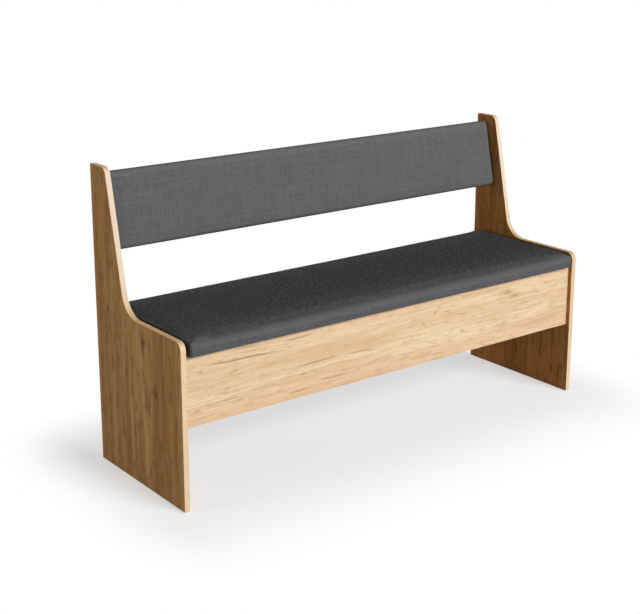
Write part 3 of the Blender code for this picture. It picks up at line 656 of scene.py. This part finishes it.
# Softened edges on the stiff pieces that show
edgeWidths = {"side_edge_band": 0.0006, "front_board": 0.0005, "hinge": 0.0002, "backrest_bracket": 0.0004}
softEdge = {"weld": 0.00001, "segments": 2, "angle": 40.0}


def softenEdges(node, width):
    weld = node.modifiers.new("weld", "WELD")
    weld.merge_threshold = softEdge["weld"]
    bevel = node.modifiers.new("soft_edges", "BEVEL")
    bevel.width = width
    bevel.segments = softEdge["segments"]
    bevel.limit_method = "ANGLE"
    bevel.angle_limit = math.radians(softEdge["angle"])


for words, width in edgeWidths.items():
    for name, node in nodes.items():
        if name.startswith(words) and "screw" not in name:
            softenEdges(node, width)
print("edges softened")


def addPiece(name, mesh, finish, place=None):
    piece = bpy.data.objects.new(name, mesh)
    mesh.materials.clear()
    mesh.materials.append(finish)
    scene.collection.objects.link(piece)
    if place is not None:
        piece.matrix_world = place
    return piece


def meshFrom(shape, name):
    mesh = bpy.data.meshes.new(name)
    shape.to_mesh(mesh)
    shape.free()
    return mesh


def held(value, low=0.0, high=1.0):  # no less than low, no more than high
    return min(max(value, low), high)


# Frames of the two pads: x along the bench, y up the slope or to the rear, z out of the board
def leanOf(node):
    face = max(node.data.polygons, key=lambda polygon: polygon.area)
    return math.atan2(abs(face.normal.z), abs(face.normal.y))


def boxIn(place, name):
    inward = place.inverted()
    points = [inward @ point.co for point in nodes[name].data.vertices]
    low = Vector([min(point[i] for point in points) for i in range(3)])
    high = Vector([max(point[i] for point in points) for i in range(3)])
    return low, high


def padFrame(name, turn):
    spin = Matrix.Rotation(turn, 4, "X")
    low, high = boxIn(spin, name + "_cover")
    return spin @ Matrix.Translation(((low.x + high.x) / 2, (low.y + high.y) / 2, low.z))


seatFrame = padFrame("seat", 0.0)
backrestFrame = padFrame("backrest", math.pi / 2 - leanOf(nodes["backrest_lining"]))

seatPad = {
    "cells": (150, 56),
    "corner": 0.0055,  # radius of the upright corners
    "wall": 0.0215,  # height of the straight wall at the front and rear
    "reach": 0.088,  # how far the roll runs in from the front and rear edges
    "endRise": 0.86,  # share of the roll's height that the ends already have at their edges
    "endReach": 0.034,
    "cornerRise": (0.48, 0.12),  # the same for the front and rear edges at the very corners
    "cornerReach": 0.110,
    "crown": 0.0010,
    "cornerPull": 0.0,  # how far the upright corners pull in above the board
    "cornerSpan": 0.012,
    "drawIn": 0.0012,  # how far the sides pull in between the corners, above the board
    "ease": 0.012,  # height over which these and the swelling set in
    "hem": 0.0018,  # rounding where the cloth turns under
    "pressure": 4.0,
    "cap": 0.0025,
    "swell": 0.0010,  # room left for the swelling
    "crease": 0.0014,
    "creaseTop": 0.031,
    "ripple": 0.0005,
}
backrestPad = {
    "cells": (150, 30), "corner": 0.0115, "wall": 0.0210, "reach": 0.024, "endRise": 0.0,
    "endReach": 0.024, "cornerRise": (0.0, 0.0), "cornerReach": 0.024, "crown": 0.0015,
    "cornerPull": 0.0018, "cornerSpan": 0.013, "drawIn": 0.0012, "ease": 0.010, "hem": 0.0018,
    "pressure": 4.0, "cap": 0.0030, "swell": 0.0015, "crease": 0.0010, "creaseTop": 0.024,
    "ripple": 0.0004,
}
padCloth = {
    "crowding": 1.35,  # how much closer the cells lie towards the edges
    "rows": (0.86, 0.81, 0.77, 0.70, 0.58),  # heights down the wall, each a share of the row above
    "under": ((1.0, 0.0), (0.3, 0.3), (0.0, 0.7)),  # shares of the hem's height and depth, round its edge
    "weld": 0.00005, "quality": 5, "frames": 20, "leastMove": 0.000001,
}


def spread(share, half):  # closer together towards the edges
    return math.copysign(half * (1.0 - (1.0 - abs(share)) ** padCloth["crowding"]), share)


def roundCorner(x, y, half, radius):  # a square corner block becomes a quarter disc
    over = Vector(((abs(x) - half.x) / radius + 1.0, (abs(y) - half.y) / radius + 1.0))
    if min(over) <= 0.0:
        return x, y
    newX = half.x - radius + radius * over.x * math.sqrt(1.0 - over.y ** 2 / 2)
    newY = half.y - radius + radius * over.y * math.sqrt(1.0 - over.x ** 2 / 2)
    return math.copysign(newX, x), math.copysign(newY, y)


def rollRise(inset, reach, start=0.0):  # share of the full height at a distance from the edge
    share = held(inset / reach)
    return start + (1.0 - start) * math.sqrt(1.0 - (1.0 - share) ** 3)


def easeIn(z, start, height):  # 0 below the start, 1 from the height above it
    share = held((z - start) / height)
    return share * share * (3.0 - 2.0 * share)


def padShape(name, pad, half, height, boardTop):
    shape = bmesh.new()
    bmesh.ops.create_grid(shape, x_segments=pad["cells"][0], y_segments=pad["cells"][1], size=1.0)
    upper = shape.verts[:]
    everything = shape.verts[:] + shape.edges[:] + shape.faces[:]
    copied = bmesh.ops.duplicate(shape, geom=everything)["geom"]
    lower = [item for item in copied if isinstance(item, bmesh.types.BMVert)]
    turnedUnder = Vector((1.0 - pad["hem"] / half.x, 1.0 - pad["hem"] / half.y))
    rise = height - pad["wall"] - pad["crown"] - pad["swell"]
    for point in upper + lower:
        x, y = spread(point.co.x, half.x), spread(point.co.y, half.y)
        corner = pad["cornerRise"][y > 0.0] * (1.0 - easeIn(half.x - abs(x), 0.0, pad["cornerReach"]))
        lift = rollRise(half.y - abs(y), pad["reach"], corner)
        lift *= rollRise(half.x - abs(x), pad["endReach"], pad["endRise"])
        crown = pad["crown"] * (1.0 - (x / half.x) ** 2) * (1.0 - (y / half.y) ** 2)
        x, y = roundCorner(x, y, half, pad["corner"])
        point.co = (x, y, pad["wall"] + rise * lift + crown)
    for point in lower:
        point.co = (point.co.x * turnedUnder.x, point.co.y * turnedUnder.y, 0.0)
    rim = [edge for edge in shape.edges if edge.is_boundary and edge.verts[0].co.z > pad["wall"] / 2]
    rows = [(share, 0.0, 0.0) for share in padCloth["rows"]]
    rows += [(0.0, pad["hem"] * up, inward) for up, inward in padCloth["under"]]
    for share, level, under in rows:
        grown = bmesh.ops.extrude_edge_only(shape, edges=rim)["geom"]
        fresh = {item for item in grown if isinstance(item, bmesh.types.BMVert)}
        rim = [item for item in grown if isinstance(item, bmesh.types.BMEdge) and set(item.verts) <= fresh]
        for point in fresh:
            point.co.x *= 1.0 + (turnedUnder.x - 1.0) * under
            point.co.y *= 1.0 + (turnedUnder.y - 1.0) * under
            point.co.z = point.co.z * share + level
    bmesh.ops.remove_doubles(shape, verts=shape.verts[:], dist=padCloth["weld"])
    for point in shape.verts:
        x, y, z = point.co
        soft = easeIn(z, boardTop, pad["ease"])
        off = Vector((half.x - abs(x), half.y - abs(y))).length / pad["cornerSpan"]
        inward = soft * pad["cornerPull"] * math.exp(-off ** 2)
        pull = soft * pad["drawIn"]
        point.co.x -= pull * (1.0 - (y / half.y) ** 2) * x / half.x + math.copysign(inward, x)
        point.co.y -= pull * (1.0 - (x / half.x) ** 2) * y / half.y + math.copysign(inward, y)
    bmesh.ops.recalc_face_normals(shape, faces=shape.faces[:])
    for face in shape.faces:
        face.smooth = True
    return meshFrom(shape, name)


def swellCloth(piece, pad, boardTop):  # cloth under light pressure, held along the board and underside
    points = piece.data.vertices
    before = [point.co.copy() for point in points]
    still = piece.vertex_groups.new(name="held")
    still.add([point.index for point in points if point.co.z < boardTop], 1.0, "REPLACE")
    simulation = piece.modifiers.new("swell", "CLOTH")
    simulation.settings.quality = padCloth["quality"]
    simulation.settings.vertex_group_mass = "held"
    simulation.settings.use_pressure = True
    simulation.settings.uniform_pressure_force = pad["pressure"]
    simulation.settings.effector_weights.gravity = 0.0
    simulation.collision_settings.use_collision = False
    simulation.point_cache.frame_start = 1
    simulation.point_cache.frame_end = padCloth["frames"]
    for step in range(1, padCloth["frames"] + 1):
        scene.frame_set(step)
    result = piece.evaluated_get(bpy.context.evaluated_depsgraph_get()).data
    moves = [point.co - old for point, old in zip(result.vertices, before)]
    piece.modifiers.remove(simulation)
    piece.vertex_groups.clear()
    scene.frame_set(1)
    for point, old, move in zip(points, before, moves):
        length = max(move.length, padCloth["leastMove"])
        share = pad["cap"] * math.tanh(length / pad["cap"]) / length
        point.co = old + move * share * easeIn(old.z, boardTop, pad["ease"])
    furthest = max(move.length for move in moves)
    print(piece.name, "swelled by up to", round(furthest * 1000, 2), "mm before the cap")


def refine(piece):  # one subdivision, kept in the mesh
    finer = piece.modifiers.new("finer", "SUBSURF")
    finer.levels = finer.render_levels = 1
    evaluated = piece.evaluated_get(bpy.context.evaluated_depsgraph_get())
    mesh = bpy.data.meshes.new_from_object(evaluated)
    piece.modifiers.remove(finer)
    piece.data = mesh


folds = {
    "ripples": 9.0,  # to the metre
    "waves": (3.0, 22.0),  # slower, along and across
    "waveShare": 0.6,
    "waveSeed": 4.0,
    "apart": 50.0,  # keeps the noise of the two pads apart
    "creaseReach": 3.0,  # in corner radii
    "creaseWidth": 0.0011, "creaseFade": 0.006,
    "slant": 0.7,  # of the crease, to both sides of its corner
    "lap": 0.0004,  # the end's cloth laps over the front's
    "lapOff": 0.004, "lapWidth": 0.003, "lapFrom": 0.002,
    "pull": 0.00012,  # height of the pull lines
    "pullLines": 9.0, "pullOff": 0.022, "pullWidth": 0.020,
    "pullFrom": 0.6,  # in wall heights
}


def foldCorners(piece, pad, half):  # crease up each corner, pull lines above it, slow ripples all over
    normals = [point.normal.copy() for point in piece.data.vertices]
    apart = half.y * folds["apart"]
    for point, out in zip(piece.data.vertices, normals):
        x, y, z = point.co
        corner = Vector((half.x - abs(x), half.y - abs(y)))
        rate = folds["ripples"]
        ripple = noise.noise(Vector((x * rate, y * rate, z * rate + apart)))
        slow = noise.noise(Vector((x * folds["waves"][0], y * folds["waves"][1], folds["waveSeed"] + apart)))
        soft = min(z / pad["wall"], 1.0)
        move = out * pad["ripple"] * (ripple + folds["waveShare"] * slow) * soft
        off = abs(corner.x - corner.y)
        if corner.length < folds["creaseReach"] * pad["corner"] and z < pad["creaseTop"]:
            depth = math.exp(-(off / folds["creaseWidth"]) ** 2)
            depth *= min(1.0, (pad["creaseTop"] - z) / folds["creaseFade"])
            aside = Vector((math.copysign(folds["slant"], x), math.copysign(folds["slant"], y), 0.0))
            move -= aside * pad["crease"] * depth
            lap = math.exp(-((corner.y - corner.x - folds["lapOff"]) / folds["lapWidth"]) ** 2)
            lap *= folds["lap"] * min(1.0, z / folds["lapFrom"])
            move += Vector((math.copysign(1.0, x), 0.0, 0.0)) * lap
        spoke = math.atan2(corner.y, corner.x)
        reach = math.exp(-((corner.length - folds["pullOff"]) / folds["pullWidth"]) ** 2)
        if z > pad["wall"] * folds["pullFrom"]:
            move += out * folds["pull"] * reach * math.cos(folds["pullLines"] * spoke)
        point.co += move


def makePad(name, words, pad, cloth, place, body):
    high = boxIn(place, words + "_cover")[1]
    half = Vector((high.x, high.y))
    boardTop = boxIn(place, words + "_board")[1].z
    piece = addPiece(name, padShape(name, pad, half, high.z, boardTop), cloth)
    swellCloth(piece, pad, boardTop)
    refine(piece)
    foldCorners(piece, pad, half)
    piece.matrix_world = place
    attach(piece, body)
    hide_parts(words + "_cover", words + "_foam")
    print(name, "made with", len(piece.data.vertices), "points")


makePad("seat_pad", "seat", seatPad, seatCloth, seatFrame, "seat_lid")
makePad("backrest_pad", "backrest", backrestPad, backrestCloth, backrestFrame, "frame")


# Lining: thin cloth over the board's rear face, its folded border stapled all round
lining = {
    "cells": (170, 46),
    "hem": 0.012,  # width of the folded border
    "hemRise": 0.0004,
    "hemFade": 0.0015,
    "scallop": 0.0012,  # how far the border draws in between staples
    "scallopReach": 0.02,
    "thickness": 0.0003,
    "sag": 0.0008,
    "sagReach": 0.05,
    "sagShares": (0.6, 0.7),  # even share, and the waves' share
    "waves": 14.0,  # to the metre
    "apart": 30.0,  # keeps the noise of the two linings apart
}
staple = {
    "pitch": 0.055,
    "inset": 0.006,
    "width": 0.011,
    "wire": 0.00035,
    "crown": (2.6, 1.6),  # width and height, in wires
    "leg": (1.8, 2.2, 5.0),
    "bevel": 0.45,
    "tilt": 0.12,  # how far a staple may stand askew
    "tiltSteps": 1.7,
    "apart": 40.0,
}


def stapleCount(length):
    return round(length / staple["pitch"])


def stapleRow(length):  # places along one side, evenly spaced
    count = stapleCount(length)
    return [length * ((i + 0.5) / count - 0.5) for i in range(count)]


def makeLining(name, words, place, body):
    high = boxIn(place, words + "_lining")[1]
    half = Vector((high.x, high.y))
    pitchX = 2 * half.x / stapleCount(2 * half.x)
    pitchY = 2 * half.y / stapleCount(2 * half.y)
    near = lining["scallopReach"]
    even, wavy = lining["sagShares"]
    shape = bmesh.new()
    bmesh.ops.create_grid(shape, x_segments=lining["cells"][0], y_segments=lining["cells"][1], size=1.0)
    for point in shape.verts:
        x, y = spread(point.co.x, half.x), spread(point.co.y, half.y)
        inset = min(half.x - abs(x), half.y - abs(y))
        drawX = math.cos(math.pi * (y + half.y) / pitchY) ** 2 * lining["scallop"]
        drawY = math.cos(math.pi * (x + half.x) / pitchX) ** 2 * lining["scallop"]
        nearEdge = max(0.0, 1.0 - inset / near)
        x -= math.copysign(drawX, x) * nearEdge * (half.x - abs(x) < near)
        y -= math.copysign(drawY, y) * nearEdge * (half.y - abs(y) < near)
        hem = lining["hemRise"] * (1.0 - held((inset - lining["hem"]) / lining["hemFade"]))
        wave = noise.noise(Vector((x * lining["waves"], y * lining["waves"], half.y * lining["apart"])))
        inner = min(1.0, max(0.0, inset - lining["hem"]) / lining["sagReach"])
        slack = lining["sag"] * inner * (even + wavy * wave)
        point.co = (x, y, high.z - hem - slack)
    for face in shape.faces:
        face.smooth = True
    bmesh.ops.reverse_faces(shape, faces=shape.faces[:])
    piece = addPiece(name, meshFrom(shape, name), backing)
    thick = piece.modifiers.new("thick", "SOLIDIFY")
    thick.thickness = lining["thickness"]
    thick.offset = 1.0
    piece.matrix_world = place
    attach(piece, body)
    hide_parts(words + "_lining")
    level = high.z - lining["hemRise"] - lining["thickness"]
    staples = makeStaples(words + "_staples", half, level, place, body)
    print(name, "made")


def makeStaples(name, half, level, place, body):
    rows = []
    reachX, reachY = half.x - staple["inset"], half.y - staple["inset"]
    for x in stapleRow(2 * half.x):
        rows += [(x, reachY, 0.0), (x, -reachY, 0.0)]
    for y in stapleRow(2 * half.y):
        rows += [(reachX, y, math.pi / 2), (-reachX, y, math.pi / 2)]
    shape = bmesh.new()
    wire = staple["wire"]
    bars = [((0.0, 0.0, 0.0), (staple["width"], *(share * wire for share in staple["crown"])))]
    for side in (-1, 1):
        foot = (side * (staple["width"] / 2 - wire), 0.0, wire * 2)
        bars.append((foot, tuple(share * wire for share in staple["leg"])))
    for i, (x, y, turn) in enumerate(rows):
        askew = noise.noise(Vector((i * staple["tiltSteps"], half.y * staple["apart"], 0.5)))
        spin = Matrix.Rotation(turn + staple["tilt"] * askew, 4, "Z")
        stand = Matrix.Translation((x, y, level - wire)) @ spin
        for middle, size in bars:
            matrix = stand @ Matrix.Translation(middle) @ Matrix.Diagonal((*size, 1.0))
            made = bmesh.ops.create_cube(shape, size=1.0, matrix=matrix)["verts"]
            edges = list({edge for point in made for edge in point.link_edges})
            bmesh.ops.bevel(shape, geom=edges, offset=wire * staple["bevel"], segments=1, affect="EDGES")
    piece = addPiece(name, meshFrom(shape, name), steel, place)
    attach(piece, body)
    return piece


makeLining("seat_lining_cloth", "seat", seatFrame, "seat_lid")
makeLining("backrest_lining_cloth", "backrest", backrestFrame, "frame")


# Countersunk screws with a cross recess and a rolled thread
screw = {
    "head": 0.0032,  # radius
    "rim": 0.0003,
    "thread": 0.0016,  # outer radius
    "core": 0.0011, "pitch": 0.0010, "length": 0.011, "tip": 0.003, "sides": 40,
    "rings": 12,  # steps across the flat of the head
    "crossReach": 0.0019, "crossWidth": 0.0011, "crossDepth": 0.0013,
    "crossWall": 0.0002,  # width of the recess's sloping walls
    "crossEnd": 0.0006,
    "turn": 3.0,  # no two recesses line up
    "turnSteps": 90.0, "weld": 0.00001,
    "flat": 0.0001,  # points this close to the furthest belong to the head's face
}


def screwOutline():  # from the middle of the head to the tip
    points = [(screw["head"] * i / screw["rings"], 0.0) for i in range(screw["rings"] + 1)]
    points.append((screw["head"], -screw["rim"]))
    neck = -screw["rim"] - screw["head"] + screw["core"]
    turns = int((screw["length"] - screw["tip"] + neck) / screw["pitch"])
    for i in range(turns):
        points.append((screw["core"], neck - screw["pitch"] * i))
        points.append((screw["thread"], neck - screw["pitch"] * (i + 0.5)))
    return points + [(screw["core"], neck - screw["pitch"] * turns), (0.0, -screw["length"])]


def crossSink(x, y):  # depth of the recess at a place on the head
    depth = 0.0
    for run, side in ((abs(x), abs(y)), (abs(y), abs(x))):
        inside = held((screw["crossWidth"] / 2 - side) / screw["crossWall"])
        depth = max(depth, inside * held((screw["crossReach"] - run) / screw["crossEnd"]))
    return depth * screw["crossDepth"]


def screwMesh():
    shape = bmesh.new()
    points = [shape.verts.new((across, 0.0, up)) for across, up in screwOutline()]
    lines = [shape.edges.new(pair) for pair in zip(points, points[1:])]
    bmesh.ops.spin(shape, geom=points + lines, cent=(0.0, 0.0, 0.0), axis=(0.0, 0.0, 1.0),
                   angle=2 * math.pi, steps=screw["sides"], use_merge=True)
    bmesh.ops.remove_doubles(shape, verts=shape.verts[:], dist=screw["weld"])
    for point in shape.verts:
        if point.co.z > -screw["weld"]:
            point.co.z -= crossSink(point.co.x, point.co.y)
    bmesh.ops.recalc_face_normals(shape, faces=shape.faces[:])
    return meshFrom(shape, "cross_screw")


def makeScrews():
    mesh = screwMesh()
    names = [name for name in nodes if "_screw_" in name]
    for name in names:
        points = [point.co.copy() for point in nodes[name].data.vertices]
        middle = sum(points, Vector()) / len(points)
        tip = max(points, key=lambda point: (point - middle).length)
        reach = max((point - tip).length for point in points)
        top = [point for point in points if (point - tip).length > reach - screw["flat"]]
        head = sum(top, Vector()) / len(top)
        stand = Matrix.Translation(head) @ (head - tip).to_track_quat("Z", "Y").to_matrix().to_4x4()
        turn = Matrix.Rotation(screw["turn"] * noise.noise(head * screw["turnSteps"]), 4, "Z")
        piece = addPiece(name.replace("_screw_", "_cross_screw_"), mesh, steel, stand @ turn)
        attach(piece, nodes[name]["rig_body"])
        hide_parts(name)
    print(len(names), "screws made")


makeScrews()


# Floor, light and camera
floorLook = {
    "size": 40.0,
    "bounce": (0.45, 0.44, 0.43),  # colour for light thrown back at the bench
    "seen": (0.50, 0.508, 0.516),  # colour that the camera sees, on top of the glow
    "glow": 0.54,
    "whiteFrom": (0.24, 0.36),  # plain white from this far off the bench's ends, and off its front and rear
}
worldLook = {"horizon": (0.265, 0.250, 0.228), "zenith": (0.083, 0.08, 0.075), "levels": (0.05, 0.8)}
keyLight = {"place": (3.1, -11.5, 6.0), "aim": (0.0, 0.0, 0.45), "size": (6.6, 4.4), "power": 1640.0}
sideLight = {"place": (-3.6, 1.1, 1.0), "aim": (-0.68, 0.0, 0.4), "size": (2.2, 1.6), "power": 16.0}
rearLight = {"place": (1.6, 5.6, 0.5), "aim": (0.0, 0.2, 0.45), "size": (3.6, 0.6), "power": 90.0}
viewpoint = {
    "place": (-2.1633, -2.6775, 1.4192), "turn": -37.406, "tilt": 14.512, "lens": 72.632,
    "sensor": 36.0, "shift": -0.10,
}


def shownRays(tree):  # what the camera sees, directly or mirrored
    path = tree.nodes.new("ShaderNodeLightPath")
    mirrored = calc("MAXIMUM", Value(path, "Is Glossy Ray"), Value(path, "Is Transmission Ray"))
    return calc("MAXIMUM", Value(path, "Is Camera Ray"), mirrored)


def mixed(amount, first, second):  # from the first shader to the second
    return Value(addNode("MixShader", (amount, first, second)))


def shaderOf(tree, kind, **looks):
    node = tree.nodes.new("ShaderNode" + kind)
    for words, value in looks.items():
        feed(value, node.inputs[words])
    return Value(node)


def addFloor():
    shape = bmesh.new()
    bmesh.ops.create_grid(shape, x_segments=1, y_segments=1, size=floorLook["size"] / 2)
    material = bpy.data.materials.new("pale_floor")
    material.use_nodes = True
    tree = material.node_tree
    tree.nodes.remove(tree.nodes["Principled BSDF"])
    glow = shaderOf(tree, "Emission", Strength=floorLook["glow"])
    lit = Value(addNode("AddShader", (shaderOf(tree, "BsdfDiffuse", Color=floorLook["seen"]), glow)))
    place = parts(Value(tree.nodes.new("ShaderNodeTexCoord"), "Object"))
    squares = []
    for axis, reach, room in zip("XY", cadBox[1], floorLook["whiteFrom"]):
        beyond = calc("MAXIMUM", (abs(place[axis]) - reach) / room, 0.0)
        squares.append(beyond * beyond)
    distance = calc("SQRT", calc("ADD", *squares))
    near = mixed(fade(distance, 0.0, 1.0), lit, shaderOf(tree, "Emission"))
    bounce = shaderOf(tree, "BsdfDiffuse", Color=floorLook["bounce"])
    feed(mixed(shownRays(tree), bounce, near), tree.nodes["Material Output"].inputs["Surface"])
    addPiece("floor", meshFrom(shape, "floor"), material)


def addWorld():
    world = bpy.data.worlds.new("studio")
    world.use_nodes = True
    scene.world = world
    tree = world.node_tree
    up = parts(Value(tree.nodes.new("ShaderNodeTexCoord"), "Generated"))["Z"]
    sky = tint(fade(up, *worldLook["levels"]), worldLook["horizon"], worldLook["zenith"])
    ambient = tree.nodes["Background"]
    feed(sky, ambient.inputs["Color"])
    white = shaderOf(tree, "Background", Color=(1.0, 1.0, 1.0))
    feed(mixed(shownRays(tree), Value(ambient), white), tree.nodes["World Output"].inputs["Surface"])


def addLight(name, look):
    data = bpy.data.lights.new(name, "AREA")
    data.shape = "RECTANGLE"
    data.size, data.size_y = look["size"]
    data.energy = look["power"]
    lamp = bpy.data.objects.new(name, data)
    scene.collection.objects.link(lamp)
    lamp.location = look["place"]
    lamp.rotation_euler = (Vector(look["aim"]) - lamp.location).to_track_quat("-Z", "Y").to_euler()


def addCamera():
    data = bpy.data.cameras.new("camera")
    data.lens = viewpoint["lens"]
    data.sensor_width = viewpoint["sensor"]
    data.shift_y = viewpoint["shift"]
    camera = bpy.data.objects.new("camera", data)
    scene.collection.objects.link(camera)
    camera.location = viewpoint["place"]
    camera.rotation_euler = (math.radians(90.0 - viewpoint["tilt"]), 0.0, math.radians(viewpoint["turn"]))
    scene.camera = camera


addFloor()
addWorld()
addLight("key_light", keyLight)
addLight("side_light", sideLight)
addLight("rear_light", rearLight)
addCamera()
print("floor, light and camera set")
